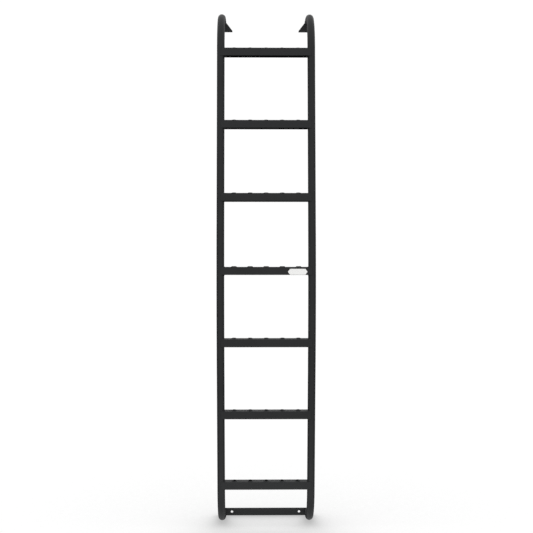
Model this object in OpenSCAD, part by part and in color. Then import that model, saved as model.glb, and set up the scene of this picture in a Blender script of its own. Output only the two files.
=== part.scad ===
// Side ladder for a van: two bent tube rails, seven pierced rungs, a bottom bar and two top plates.
// The origin is the centre of the bottom bar's rear face. +Y points at the van, +Z up.

/* [Rails] */
// Outer diameter of the rail tube
tube_d = 32; // [25:1:40]
// Wall of the rail tube
tube_wall = 2; // [1.5:0.5:3]
// Distance between the centre lines of the two rails
rail_spacing = 375; // [320:5:450]
// Height from the centre of the bottom tails to the centre of the top tails
rail_height = 2153; // [2100:1:2300]
// Distance from the mounting plane to the rail's centre line where it bows out furthest
standoff = 302; // [280:2:350]
// Height above the bottom tails at which the rails bow out furthest
bow_height = 1002; // [900:2:1200]
// Radius of the long bow in the middle of each rail
bow_radius = 2940; // [2500:10:4000]
// Angle by which the upper half of the rail leans back towards the van
lean_up = 4.9; // [3:0.1:7]
// Angle by which the lower half of the rail leans back towards the van
lean_down = 6.3; // [3:0.1:7]
// Centre line radius of the bends at both ends
bend_radius = 174; // [140:2:200]

/* [Rungs] */
// Distance from the centre of the top tails down to the top rung
top_rung_drop = 179; // [170:1:240]
// Height of the middle rung above the centre of the bottom tails
middle_rung_height = 1071; // [1000:1:1120]
// Distance from the middle rung down to the next
middle_rung_step = 294.5; // [260:0.5:320]
// Height of the lowest rung above the centre of the bottom tails
low_rung_rise = 175.5; // [160:0.5:240]
// Height and depth of the rung's square section
rung_size = 33; // [28:1:40]
// Wall of the rung
rung_wall = 2; // [1.5:0.5:2.5]
// Outer corner radius of the rung's section
rung_corner = 1.5; // [1.5:0.5:4]
// Gap between a rung's coped end and the rail, filled by the weld
weld_gap = 0.1; // [0.05:0.05:0.3]

/* [Grip holes] */
// Number of raised holes along each tread
grip_count = 5; // [3:1:5]
// Distance from one raised hole to the next
grip_pitch = 66; // [55:1:70]
// Height of the raised rim above the tread
grip_height = 3; // [2:0.5:5]
// Diameter of the raised cone where it leaves the tread
grip_base_d = 25; // [22:0.5:27]
// Radius of the rolled rim round the hole
grip_rim_radius = 1.4; // [1:0.1:1.8]
// Diameter of the open hole at the rim
grip_hole_d = 14; // [10:0.5:15]
// Diameter of the pressed funnel where it leaves the tread's inner side
grip_funnel_d = 21; // [18:0.5:22]

/* [Bottom bar] */
// Height of the flat bar across the bottom tails
bar_height = 32; // [25:1:40]
// Thickness of the bottom bar
bar_thick = 6; // [4:1:10]
// Diameter of the bolt holes in the bar
bar_hole_d = 11; // [6:0.5:14]
// Distance between the bar's two bolt holes
bar_hole_spacing = 296; // [200:2:300]

/* [Top plates] */
// Thickness of the top plates
plate_thick = 6; // [4:1:10]
// Distance from the rail's centre line down to the plate's bottom edge
plate_drop = 44; // [40:1:60]
// Distance from the rail's centre line inwards to the plate's tip
plate_reach = 43; // [35:0.5:60]
// Height of the plate's blunt tip
plate_tip = 5; // [3:0.5:10]
// Angle of the plate's sloping edge above level
plate_slope = 52.5; // [46:0.5:58]
// Diameter of the plate's bolt hole
plate_hole_d = 11; // [6:0.5:14]
// Distance from the rail's centre line down to the plate's bolt hole
plate_hole_drop = 27; // [25:1:40]
// Distance from the rail's centre line inwards to the plate's bolt hole
plate_hole_in = 0; // [-5:1:20]

/* [Badge plate] */
// Length of the bare plate on the fourth rung, point to point
badge_length = 80; // [50:1:82]
// Height of the bare plate
badge_height = 24; // [15:1:26]
// How far each of the plate's ends tapers to its point
badge_point = 9; // [5:1:15]
// Thickness of the bare plate
badge_thick = 2; // [0.5:0.5:3]
// Distance from the ladder's middle to the centre of the bare plate
badge_offset = 128; // [100:1:130]
// Distance from the middle of the rung's face down to the centre of the bare plate
badge_drop = 3.5; // [0:0.5:5]

/* [Hidden] */
steel = "#35373a";
white = "#e8e8e6";
rail_x = rail_spacing / 2;
tube_r = tube_d / 2;
// How far a cut runs past the surface it opens
cut = 1;
// How far a straight length laps into the bend it joins, and how much thinner it is
lap = 1;
hair = 0.1;
bow_y = bow_radius - standoff;
upper_z = bow_height + bow_radius * sin(lean_up);
upper_y = bow_y - bow_radius * cos(lean_up);
lower_z = bow_height - bow_radius * sin(lean_down);
lower_y = bow_y - bow_radius * cos(lean_down);
top_bend_z = rail_height - bend_radius * (1 - sin(lean_up));
top_bend_y = upper_y + (top_bend_z - upper_z) * tan(lean_up);
low_bend_z = bend_radius * (1 - sin(lean_down));
low_bend_y = lower_y + (lower_z - low_bend_z) * tan(lean_down);
top_tail_y = top_bend_y + bend_radius * cos(lean_up);
low_tail_y = low_bend_y + bend_radius * cos(lean_down);

// Lean of the rail at height z, positive where it leans back going up
function lean_at(z) =
    z > upper_z ? lean_up : z < lower_z ? -lean_down : asin((z - bow_height) / bow_radius);

// Place of the rail's centre line at height z, between the two end bends
function rail_y(z) =
    z > upper_z ? upper_y + (z - upper_z) * tan(lean_up)
    : z < lower_z ? lower_y + (lower_z - z) * tan(lean_down)
    : bow_y - bow_radius * cos(lean_at(z));

// Height of each rung, counted from the top: even steps down to the middle one, then below it
top_rung_z = rail_height - top_rung_drop;
fifth_rung_z = middle_rung_height - middle_rung_step;
function rung_z(i) =
    i <= 4 ? top_rung_z + (middle_rung_height - top_rung_z) * (i - 1) / 3
    : fifth_rung_z + (low_rung_rise - fifth_rung_z) * (i - 5) / 2;

// A straight length of round bar, from a point on the centre line, leaning by an angle.
// It is a hair thinner than the bends and laps into them, so no two surfaces coincide.
module straight(y, z, lean, length, d, lap_end) {
    translate([0, y, z]) rotate([-lean, 0, 0]) translate([0, 0, -lap])
        cylinder(h = length + lap + lap_end, d = d - hair, $fn = 48);
}

// A bend in round bar about a level axis, its angles measured from +Y towards +Z
module bend(y, z, radius, from, to, d, fine) {
    translate([0, y, z]) rotate([90, 0, 90]) rotate([0, 0, from])
        rotate_extrude(angle = to - from, $fn = fine) translate([radius, 0]) circle(d = d, $fn = 48);
}

// The whole run of one rail in round bar: tail, bend, straight, bow, straight, bend, tail
module rail_run(d, past_ends) {
    straight(low_tail_y, 0, 90, -bar_thick - low_tail_y, d, past_ends);
    bend(low_tail_y, bend_radius, bend_radius, 180 + lean_down, 270, d, 180);
    straight(low_bend_y, low_bend_z, -lean_down, (lower_z - low_bend_z) / cos(lean_down), d, lap);
    bend(bow_y, bow_height, bow_radius, 180 - lean_up, 180 + lean_down, d, 360);
    straight(upper_y, upper_z, lean_up, (top_bend_z - upper_z) / cos(lean_up), d, lap);
    bend(top_tail_y, rail_height - bend_radius, bend_radius, 90, 180 - lean_up, d, 180);
    straight(top_tail_y, rail_height, 90, -plate_thick - top_tail_y, d, past_ends);
}

// One rail: the bent tube with its bore
module rail() {
    difference() {
        rail_run(tube_d, 0);
        rail_run(tube_d - 2 * tube_wall, cut);
    }
}

// A square with true round corners
module rounded_square(size, radius) {
    flat = size - 2 * radius;
    square([size, flat], center = true);
    square([flat, size], center = true);
    for (x = [-1, 1], y = [-1, 1]) translate([x * flat / 2, y * flat / 2]) circle(radius, $fn = 32);
}

// Half section of a raised grip hole above the tread: a cone that runs into a rolled rim
module grip_form() {
    rim_x = grip_hole_d / 2 + grip_rim_radius;
    rim_y = grip_height - grip_rim_radius;
    run = grip_base_d / 2 - rim_x;
    slope = atan2(rim_y, run) + asin(grip_rim_radius / norm([run, rim_y]));
    translate([rim_x, rim_y]) circle(grip_rim_radius, $fn = 32);
    polygon([[grip_base_d / 2, 0], [rim_x + grip_rim_radius * sin(slope), rim_y + grip_rim_radius * cos(slope)],
             [rim_x, rim_y], [rim_x - grip_rim_radius, rim_y], [rim_x - grip_rim_radius, -rung_wall / 2],
             [grip_base_d / 2, -rung_wall / 2]]);
}

// The open hole through a grip: a pressed funnel that narrows up to the rim, so the sheet's wall
// stays about as thick as the tread
module grip_hole() {
    rim_level = grip_height - grip_rim_radius;
    translate([0, 0, -rung_wall - cut]) cylinder(h = cut, d = grip_funnel_d, $fn = 48);
    translate([0, 0, -rung_wall])
        cylinder(h = rung_wall + rim_level, d1 = grip_funnel_d, d2 = grip_hole_d, $fn = 48);
    translate([0, 0, rim_level]) cylinder(h = grip_rim_radius + cut, d = grip_hole_d, $fn = 48);
}

// Places one child at each grip along the tread
module at_grips() {
    for (i = [0 : grip_count - 1])
        translate([(i - (grip_count - 1) / 2) * grip_pitch, 0, rung_size / 2]) children();
}

// One rung, level and centred on the origin, with its ends coped to the rails
module rung_bar() {
    difference() {
        union() {
            rotate([90, 0, 90]) linear_extrude(rail_spacing, center = true) difference() {
                rounded_square(rung_size, rung_corner);
                rounded_square(rung_size - 2 * rung_wall, rung_corner - rung_wall / 2);
            }
            at_grips() rotate_extrude($fn = 48) grip_form();
        }
        at_grips() grip_hole();
        for (side = [-1, 1])
            translate([side * rail_x, 0, 0])
                cylinder(h = rung_size + 2 * grip_height, r = tube_r + weld_gap, center = true, $fn = 48);
    }
}

module rung(i) {
    color(steel) translate([0, rail_y(rung_z(i)), rung_z(i)]) rotate([-lean_at(rung_z(i)), 0, 0]) rung_bar();
}

// A flat plate standing in the mounting plane, drawn in X and Z
module standing_plate(thick) {
    rotate([90, 0, 0]) linear_extrude(thick) children();
}

module bottom_bar() {
    color(steel) standing_plate(bar_thick) difference() {
        square([rail_spacing + tube_d, bar_height], center = true);
        for (side = [-1, 1]) translate([side * bar_hole_spacing / 2, 0]) circle(d = bar_hole_d, $fn = 48);
    }
}

// Outline of the right top plate: it closes the tube's end and slopes down to a blunt inner tip.
// The sloping edge runs up behind the tube to the point where it passes nearest to the tube's centre.
module plate_outline() {
    tip_x = -plate_reach;
    tip_z = plate_tip - plate_drop;
    run = plate_reach * cos(plate_slope) - tip_z * sin(plate_slope);
    difference() {
        union() {
            circle(d = tube_d, $fn = 96);
            polygon([[tip_x, -plate_drop], [tube_r, -plate_drop], [tube_r, 0], [0, 0],
                     [tip_x + run * cos(plate_slope), tip_z + run * sin(plate_slope)], [tip_x, tip_z]]);
        }
        translate([-plate_hole_in, -plate_hole_drop]) circle(d = plate_hole_d, $fn = 48);
    }
}

module top_plate() {
    color(steel) translate([rail_x, 0, rail_height]) standing_plate(plate_thick) plate_outline();
}

// The bare pointed plate on the front of the fourth rung
module badge() {
    long = badge_length / 2;
    half = badge_height / 2;
    color(white) translate([0, rail_y(rung_z(4)), rung_z(4)]) rotate([-lean_at(rung_z(4)), 0, 0])
        translate([badge_offset, -rung_size / 2, -badge_drop]) standing_plate(badge_thick)
            polygon([[-long, 0], [badge_point - long, -half], [long - badge_point, -half],
                     [long, 0], [long - badge_point, half], [badge_point - long, half]]);
}

module left_rail() { color(steel) translate([-rail_x, 0, 0]) rail(); }
module right_rail() { color(steel) translate([rail_x, 0, 0]) rail(); }

left_rail();
right_rail();
rung(1);  // rung_1
rung(2);  // rung_2
rung(3);  // rung_3
rung(4);  // rung_4
rung(5);  // rung_5
rung(6);  // rung_6
rung(7);  // rung_7
bottom_bar();  // bottom_mount_bar
mirror([1, 0, 0]) top_plate();  // left_top_plate
top_plate();  // right_top_plate
badge();  // badge_plate
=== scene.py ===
import math

import bmesh
import bpy
from mathutils import Matrix, Vector


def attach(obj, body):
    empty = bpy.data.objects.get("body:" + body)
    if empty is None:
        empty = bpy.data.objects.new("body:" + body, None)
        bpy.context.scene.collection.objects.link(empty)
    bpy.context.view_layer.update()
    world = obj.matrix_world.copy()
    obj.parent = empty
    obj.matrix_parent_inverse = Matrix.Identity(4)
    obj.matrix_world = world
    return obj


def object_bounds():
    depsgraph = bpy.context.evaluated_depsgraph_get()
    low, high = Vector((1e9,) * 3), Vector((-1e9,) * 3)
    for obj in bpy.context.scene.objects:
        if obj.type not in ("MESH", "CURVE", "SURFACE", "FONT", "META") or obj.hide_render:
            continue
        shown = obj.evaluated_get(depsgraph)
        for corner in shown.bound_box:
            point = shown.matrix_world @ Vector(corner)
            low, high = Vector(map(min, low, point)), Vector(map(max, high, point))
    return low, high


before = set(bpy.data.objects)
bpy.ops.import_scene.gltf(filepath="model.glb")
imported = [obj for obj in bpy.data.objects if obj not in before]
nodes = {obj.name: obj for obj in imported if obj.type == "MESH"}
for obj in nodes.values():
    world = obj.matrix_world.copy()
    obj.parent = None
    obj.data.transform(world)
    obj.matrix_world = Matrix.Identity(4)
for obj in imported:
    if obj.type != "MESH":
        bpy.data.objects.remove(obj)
cad_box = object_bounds()
scene = bpy.context.scene

# Camera: at the height of a climber's chest, a little to the left of the ladder's middle and about
# four metres in front. It looks very slightly down and to the right, with the lens unshifted.
mm = 0.001
picture_px = 533
focal_px = 955.8
sensor_mm = 36
farthest = 100
eye = Vector((-43.6 * mm, -4206.5 * mm, 1165.4 * mm))
look_down = math.radians(1.12)
turn_right = math.radians(0.655)

camera_data = bpy.data.cameras.new("camera")
camera_data.sensor_width = sensor_mm
camera_data.lens = sensor_mm * focal_px / picture_px
camera_data.clip_end = farthest
camera = bpy.data.objects.new("camera", camera_data)
camera.location = eye
camera.rotation_euler = (math.radians(90) - look_down, 0, -turn_right)
scene.collection.objects.link(camera)
scene.camera = camera

# Rails, rungs, bottom bar and top plates: mild steel tube and plate, welded up and powder coated
# satin black in one go. The coat is a baked polyester film about 0.08 mm thick, so no bare metal
# shows. It gives the eye a soft, even sheen, broken up close to by an orange peel and a fine grain.
coat_dark = "#202122"
coat_light = "#252627"
coat_ior = 1.5
# The grain scatters the shine, so the specular level is well below a smooth film's.
coat_specular = 0.22
coat_roughness = 0.5
# Orange peel and grain are as wide as on a real coat, and deep enough to show close to.
peel_mm = 1.6
peel_depth_mm = 0.15
peel_strength = 0.4
grain_mm = 0.35
grain_depth_mm = 0.04
grain_strength = 0.25
# Colour and gloss drift slowly along the tubes, and the grain speckles the gloss.
drift_mm = 90
drift_gloss = 0.03
speckle_gloss = 0.05
# Edges of the plates and rungs are rounded by the coat.
edge_mm = 0.8
# Noise mostly keeps between these two, and is stretched from them to its full range.
noise_low = 0.3
noise_high = 0.7


def linear(hex_colour):
    """An sRGB hex colour as linear red, green, blue and alpha."""
    channels = [int(hex_colour[i:i + 2], 16) / 255 for i in (1, 3, 5)]
    return [c / 12.92 if c <= 0.04045 else ((c + 0.055) / 1.055) ** 2.4 for c in channels] + [1]


def add_node(tree, kind, settings=None, **inputs):
    """Adds a node with its settings. An input goes by its socket's name, or by its number as in
    _6, and is a value or another node's output, which is linked."""
    node = tree.nodes.new(kind)
    for name, value in (settings or {}).items():
        setattr(node, name, value)
    for name, value in inputs.items():
        socket = node.inputs[int(name[1:]) if name[0] == "_" else name.replace("_", " ")]
        if isinstance(value, bpy.types.NodeSocket):
            tree.links.new(value, socket)
        else:
            socket.default_value = value
    return node


def new_material(name):
    """An empty material and its node tree."""
    material = bpy.data.materials.new(name)
    material.use_nodes = True
    material.node_tree.nodes.clear()
    return material, material.node_tree


black_coat, tree = new_material("satin_black_powder_coat")
place = add_node(tree, "ShaderNodeTexCoord").outputs["Object"]
peel = add_node(tree, "ShaderNodeTexNoise", Vector=place, Scale=1 / (peel_mm * mm), Detail=2.0,
                Roughness=0.5)
grain = add_node(tree, "ShaderNodeTexNoise", Vector=place, Scale=1 / (grain_mm * mm), Detail=1.0)
edges = add_node(tree, "ShaderNodeBevel", {"samples": 6}, Radius=edge_mm * mm)
flow = add_node(tree, "ShaderNodeBump", Strength=peel_strength, Distance=peel_depth_mm * mm,
                Height=peel.outputs[0], Normal=edges.outputs[0])
pores = add_node(tree, "ShaderNodeBump", Strength=grain_strength, Distance=grain_depth_mm * mm,
                 Height=grain.outputs[0], Normal=flow.outputs[0])
drift = add_node(tree, "ShaderNodeTexNoise", Vector=place, Scale=1 / (drift_mm * mm), Detail=3.0)
tone = add_node(tree, "ShaderNodeMapRange", Value=drift.outputs[0], From_Min=noise_low,
                From_Max=noise_high, To_Min=0.0, To_Max=1.0)
colour = add_node(tree, "ShaderNodeMix", {"data_type": "RGBA"}, Factor=tone.outputs[0],
                  _6=linear(coat_dark), _7=linear(coat_light))
patches = add_node(tree, "ShaderNodeMapRange", Value=drift.outputs[0], From_Min=noise_low,
                   From_Max=noise_high, To_Min=coat_roughness - drift_gloss,
                   To_Max=coat_roughness + drift_gloss)
speckle = add_node(tree, "ShaderNodeMapRange", Value=grain.outputs[0], From_Min=noise_low,
                   From_Max=noise_high, To_Min=-speckle_gloss, To_Max=speckle_gloss)
gloss = add_node(tree, "ShaderNodeMath", _0=patches.outputs[0], _1=speckle.outputs[0])
shader = add_node(tree, "ShaderNodeBsdfPrincipled", Base_Color=colour.outputs[2],
                  Roughness=gloss.outputs[0], IOR=coat_ior, Specular_IOR_Level=coat_specular,
                  Normal=pores.outputs[0])
add_node(tree, "ShaderNodeOutputMaterial", Surface=shader.outputs[0])

for name in nodes:
    if name != "badge_plate":
        nodes[name].data.materials.clear()
        nodes[name].data.materials.append(black_coat)

# Weld beads: each joint is MIG welded all round before coating, a 4 mm fillet with fine ripples
# where the puddle froze, dressed lower on the front and back of the rungs. A bead is a bent bar
# with its lower half inside the steel, and takes the same coat.
bead_r = 2.1 * mm
dressed_r = 0.9 * mm
ripple_pitch = 2.4 * mm
ripple_depth = 0.14
bead_step = 0.6 * mm
bead_sides = 12
# How fast a bead swells from its dressed radius to its full one round a rung's end
bead_swell = 1.6
# An open bead tapers over this share of its length at each end, down to this share of its radius.
end_length = 1 / 8
end_radius = 0.25
# Where the beads on the tails start and end, in degrees round the tail from its inner side
bar_bead = (-62, 62)
plate_bead = (-162, -12)
# No joint's line runs along this direction, so each ring of a bead can be turned from it.
off_axis = Vector((0.31, 0.52, 0.79))
tube_r = 16 * mm
rail_x = 187.5 * mm
rung_half = 16.5 * mm
# Thickness of the bottom bar and of the top plates
plate_thick = 6 * mm
top_tail_z = 2153 * mm
# Each rail is a long bow between two straights, and every rung sits on its centre line.
standoff = 302 * mm
bow_height = 1002 * mm
bow_radius = 2940 * mm
lean_up = math.radians(4.9)
lean_down = math.radians(6.3)
top_rung = 1974 * mm
middle_rung = 1071 * mm
fifth_rung = 776.5 * mm
lowest_rung = 175.5 * mm
rung_heights = [top_rung + (middle_rung - top_rung) * i / 3 for i in range(4)]
rung_heights += [fifth_rung + (lowest_rung - fifth_rung) * i / 2 for i in range(3)]
sides = ((-1, "left"), (1, "right"))


def rail_at(height):
    """Depth of the rail's centre line at a height, and how far the rail leans back there."""
    slope = min(math.sin(lean_up), max(-math.sin(lean_down), (height - bow_height) / bow_radius))
    lean = math.asin(slope)
    past_bow = height - bow_height - bow_radius * slope
    return bow_radius * (1 - math.cos(lean)) - standoff + past_bow * math.tan(lean), lean


def weld_bead(name, points, radii, closed):
    """A bead of weld along a path: a round bar of varying radius with one ripple every few mm."""
    shape = bmesh.new()
    rings = []
    run = 0.0
    count = len(points)
    for i, (point, radius) in enumerate(zip(points, radii)):
        before = points[i - 1] if i or closed else point
        after = points[(i + 1) % count] if i + 1 < count or closed else point
        along = (after - before).normalized()
        side = along.cross(off_axis).normalized()
        up = along.cross(side)
        run += (point - points[i - 1]).length if i else 0.0
        ripple = (run / ripple_pitch) % 1
        ring_r = radius * (1 - ripple_depth * ripple ** 2)
        turns = [2 * math.pi * k / bead_sides for k in range(bead_sides)]
        rings.append([shape.verts.new(point + ring_r * (math.cos(turn) * side + math.sin(turn) * up))
                      for turn in turns])
    for i in range(count if closed else count - 1):
        ring, following = rings[i], rings[(i + 1) % count]
        for k in range(bead_sides):
            beside = (k + 1) % bead_sides
            shape.faces.new((ring[k], ring[beside], following[beside], following[k]))
    if not closed:
        shape.faces.new(reversed(rings[0]))
        shape.faces.new(rings[-1])
    bmesh.ops.recalc_face_normals(shape, faces=shape.faces)
    mesh = bpy.data.meshes.new(name)
    shape.to_mesh(mesh)
    shape.free()
    for face in mesh.polygons:
        face.use_smooth = True
    bead = bpy.data.objects.new(name, mesh)
    scene.collection.objects.link(bead)
    mesh.materials.append(black_coat)
    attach(bead, "root")


def rung_joint(side):
    """The line where a level rung centred on the origin meets its rail, once round, with radii."""
    points, radii = [], []
    arc_steps = int(math.pi * tube_r / bead_step)
    rise_steps = int(2 * rung_half / bead_step)
    for face in (1, -1):
        for i in range(arc_steps):
            turn = math.pi * (i / arc_steps - 0.5) * face
            points.append(Vector((side * (rail_x - tube_r * math.cos(turn)),
                                  tube_r * math.sin(turn), rung_half * face)))
            swollen = min(1, bead_swell * math.cos(turn))
            radii.append(dressed_r + (bead_r - dressed_r) * swollen)
        for i in range(rise_steps):
            points.append(Vector((side * rail_x, tube_r * face,
                                  rung_half * face * (1 - 2 * i / rise_steps))))
            radii.append(dressed_r)
    return points, radii


def tail_joint(side, height, start, end):
    """Part of the circle where a rail's tail meets a plate, in degrees from the inner side."""
    points, radii = [], []
    steps = int(math.radians(end - start) * tube_r / bead_step)
    for i in range(steps + 1):
        turn = math.radians(start + (end - start) * i / steps)
        points.append(Vector((side * (rail_x - tube_r * math.cos(turn)), -plate_thick,
                              height + tube_r * math.sin(turn))))
        taper = min(1, min(i, steps - i) / (end_length * steps))
        radii.append(bead_r * (end_radius + (1 - end_radius) * taper))
    return points, radii


for number, height in enumerate(rung_heights, 1):
    depth, lean = rail_at(height)
    tilt = Matrix.Translation((0, depth, height)) @ Matrix.Rotation(-lean, 4, "X")
    for side, label in sides:
        points, radii = rung_joint(side)
        placed = [tilt @ point for point in points]
        weld_bead("weld_rung_%d_%s" % (number, label), placed, radii, True)

for side, label in sides:
    points, radii = tail_joint(side, 0.0, *bar_bead)
    weld_bead("weld_bar_" + label, points, radii, False)
    points, radii = tail_joint(side, top_tail_z, *plate_bead)
    weld_bead("weld_plate_" + label, points, radii, False)

# Badge plate: a thin aluminium plate with pointed ends, flat on the front of the fourth rung and
# left blank. It is coated with white stoving enamel, which gives the eye a clean white with a
# slight gloss and a very shallow ripple.
enamel_light = "#fdfdfc"
enamel_dark = "#f6f6f4"
enamel_roughness = 0.3
enamel_ior = 1.52
enamel_ripple_mm = 3
enamel_ripple_depth_mm = 0.05
enamel_ripple_strength = 0.1

white_enamel, tree = new_material("white_stoving_enamel")
place = add_node(tree, "ShaderNodeTexCoord").outputs["Object"]
ripple = add_node(tree, "ShaderNodeTexNoise", Vector=place, Scale=1 / (enamel_ripple_mm * mm),
                  Detail=2.0)
flow = add_node(tree, "ShaderNodeBump", Strength=enamel_ripple_strength,
                Distance=enamel_ripple_depth_mm * mm, Height=ripple.outputs[0])
colour = add_node(tree, "ShaderNodeMix", {"data_type": "RGBA"}, Factor=ripple.outputs[0],
                  _6=linear(enamel_light), _7=linear(enamel_dark))
shader = add_node(tree, "ShaderNodeBsdfPrincipled", Base_Color=colour.outputs[2],
                  Roughness=enamel_roughness, IOR=enamel_ior, Normal=flow.outputs[0])
add_node(tree, "ShaderNodeOutputMaterial", Surface=shader.outputs[0])
nodes["badge_plate"].data.materials.clear()
nodes["badge_plate"].data.materials.append(white_enamel)

# Floor: a sheet of matt white paper that the bottom bends stand on. It glows, so that it stays
# white out to the horizon, and its glow is dimmed by painted shade where the ladder hides the sky
# from it. It sends nothing back up and doesn't show in the ladder's coat.
floor_z = cad_box[0][2]
floor_reach = 40
floor_corners = [(-1, -1), (1, -1), (1, 1), (-1, 1)]
paper_light = "#ffffff"
paper_dark = "#fefefe"
# Real fibres are too fine to show, so they are drawn as soft flecks of this size.
fibre_mm = 4
# Brightness of the paper in the open, of the surround behind it, and of fully hidden paper
surround_light = 1.02
shade_floor = 0.5
# The broad painted shade looks up and out to its reach, and its fall says how quickly it deepens.
shade_reach = 2.0
shade_fall = 2.7
# The painted contact shadow close to the feet and the bar looks up and towards the van, where its
# light is from.
contact_reach = 0.3
contact_fall = 0.8
contact_towards_van = 0.7
contact_up = 0.714

floor_mesh = bpy.data.meshes.new("floor")
floor_mesh.from_pydata([(floor_reach * x, floor_reach * y, floor_z) for x, y in floor_corners],
                       [], [(0, 1, 2, 3)])
floor = bpy.data.objects.new("floor", floor_mesh)
scene.collection.objects.link(floor)
white_paper, tree = new_material("matt_white_paper")
place = add_node(tree, "ShaderNodeTexCoord").outputs["Object"]
fibres = add_node(tree, "ShaderNodeTexNoise", Vector=place, Scale=1 / (fibre_mm * mm), Detail=2.0)
paper_tone = add_node(tree, "ShaderNodeMix", {"data_type": "RGBA"}, Factor=fibres.outputs[0],
                      _6=linear(paper_light), _7=linear(paper_dark))
# Painted shade: the glow is dimmed by how much of the sky the ladder hides from each spot.
open_sky = add_node(tree, "ShaderNodeAmbientOcclusion", {"samples": 16}, Distance=shade_reach)
broad_shade = add_node(tree, "ShaderNodeMath", {"operation": "POWER"}, _0=open_sky.outputs["AO"],
                       _1=shade_fall)
contact_way = add_node(tree, "ShaderNodeCombineXYZ", X=0.0, Y=contact_towards_van, Z=contact_up)
open_close_by = add_node(tree, "ShaderNodeAmbientOcclusion", {"samples": 16},
                         Distance=contact_reach, Normal=contact_way.outputs[0])
contact_shade = add_node(tree, "ShaderNodeMath", {"operation": "POWER"},
                         _0=open_close_by.outputs["AO"], _1=contact_fall)
shade = add_node(tree, "ShaderNodeMath", {"operation": "MULTIPLY"}, _0=broad_shade.outputs[0],
                 _1=contact_shade.outputs[0])
glow = add_node(tree, "ShaderNodeMapRange", Value=shade.outputs[0], From_Min=0.0, From_Max=1.0,
                To_Min=shade_floor, To_Max=surround_light)
shader = add_node(tree, "ShaderNodeEmission", Color=paper_tone.outputs[2],
                  Strength=glow.outputs[0])
add_node(tree, "ShaderNodeOutputMaterial", Surface=shader.outputs[0])
floor_mesh.materials.append(white_paper)
floor.visible_diffuse = False
floor.visible_glossy = False

# Floor bounce: a low light that faces up, in place of what white paper would send back. It lights
# the bottom bends and the lowest rung from below, and the camera doesn't see it.
bounce_wide = 1.1
bounce_deep = 0.7
bounce_ahead = 0.45
bounce_lift = 0.5 * mm
bounce_watts = 1.5

bounce_data = bpy.data.lights.new("floor_bounce", "AREA")
bounce_data.shape = "RECTANGLE"
bounce_data.size = bounce_wide
bounce_data.size_y = bounce_deep
bounce_data.energy = bounce_watts
bounce = bpy.data.objects.new("floor_bounce", bounce_data)
bounce.location = (0, -bounce_ahead, floor_z + bounce_lift)
bounce.rotation_euler = (math.radians(180), 0, 0)
bounce.visible_camera = False
scene.collection.objects.link(bounce)

# Surround: a white studio with a broad soft light overhead, one in front, and two smaller ones
# behind, to the left and right. The sides are dark at the ladder's height, so that the tubes'
# edges stay crisp against the white that the camera sees.
overhead_light = 0.97
front_light = 1.06
back_light = 1.0
# Each light fades between two values of a direction's X, Y or Z, which run from -1 to 1.
overhead_z = (0.02, 0.5)
front_y = (-0.45, 0.0)
front_z = (-0.85, -0.35)
back_y = (0.35, 0.75)
back_x = (0.3, 0.6)
back_z = (-0.4, -0.15)

world = bpy.data.worlds.new("studio")
scene.world = world
world.use_nodes = True
tree = world.node_tree
tree.nodes.clear()


def soft_step(value, fade, brightness=1.0, falling=False):
    """Fades smoothly from nothing to a brightness, or falls from it, between two values."""
    ends = (brightness, 0.0) if falling else (0.0, brightness)
    step = add_node(tree, "ShaderNodeMapRange", {"interpolation_type": "SMOOTHSTEP"}, Value=value,
                    From_Min=fade[0], From_Max=fade[1], To_Min=ends[0], To_Max=ends[1])
    return step.outputs[0]


direction = add_node(tree, "ShaderNodeTexCoord").outputs["Generated"]
way = add_node(tree, "ShaderNodeSeparateXYZ", Vector=direction)
overhead = soft_step(way.outputs["Z"], overhead_z, overhead_light)
front_wide = soft_step(way.outputs["Y"], front_y, front_light, falling=True)
front_tall = soft_step(way.outputs["Z"], front_z)
front = add_node(tree, "ShaderNodeMath", {"operation": "MULTIPLY"}, _0=front_wide, _1=front_tall)
back_wide = soft_step(way.outputs["Y"], back_y, back_light)
off_centre = add_node(tree, "ShaderNodeMath", {"operation": "ABSOLUTE"}, _0=way.outputs["X"])
back_split = soft_step(off_centre.outputs[0], back_x)
back_tall = soft_step(way.outputs["Z"], back_z)
back_pair = add_node(tree, "ShaderNodeMath", {"operation": "MULTIPLY"}, _0=back_wide,
                     _1=back_split)
back = add_node(tree, "ShaderNodeMath", {"operation": "MULTIPLY"}, _0=back_pair.outputs[0],
                _1=back_tall)
ahead = add_node(tree, "ShaderNodeMath", {"operation": "MAXIMUM"}, _0=overhead,
                 _1=front.outputs[0])
all_lights = add_node(tree, "ShaderNodeMath", {"operation": "MAXIMUM"}, _0=ahead.outputs[0],
                      _1=back.outputs[0])
seen = add_node(tree, "ShaderNodeLightPath").outputs["Is Camera Ray"]
light = add_node(tree, "ShaderNodeMix", {"data_type": "FLOAT"}, Factor=seen,
                 _2=all_lights.outputs[0], _3=surround_light)
background = add_node(tree, "ShaderNodeBackground", Color=(1, 1, 1, 1), Strength=light.outputs[0])
add_node(tree, "ShaderNodeOutputWorld", Surface=background.outputs[0])
scene.view_settings.view_transform = "Standard"
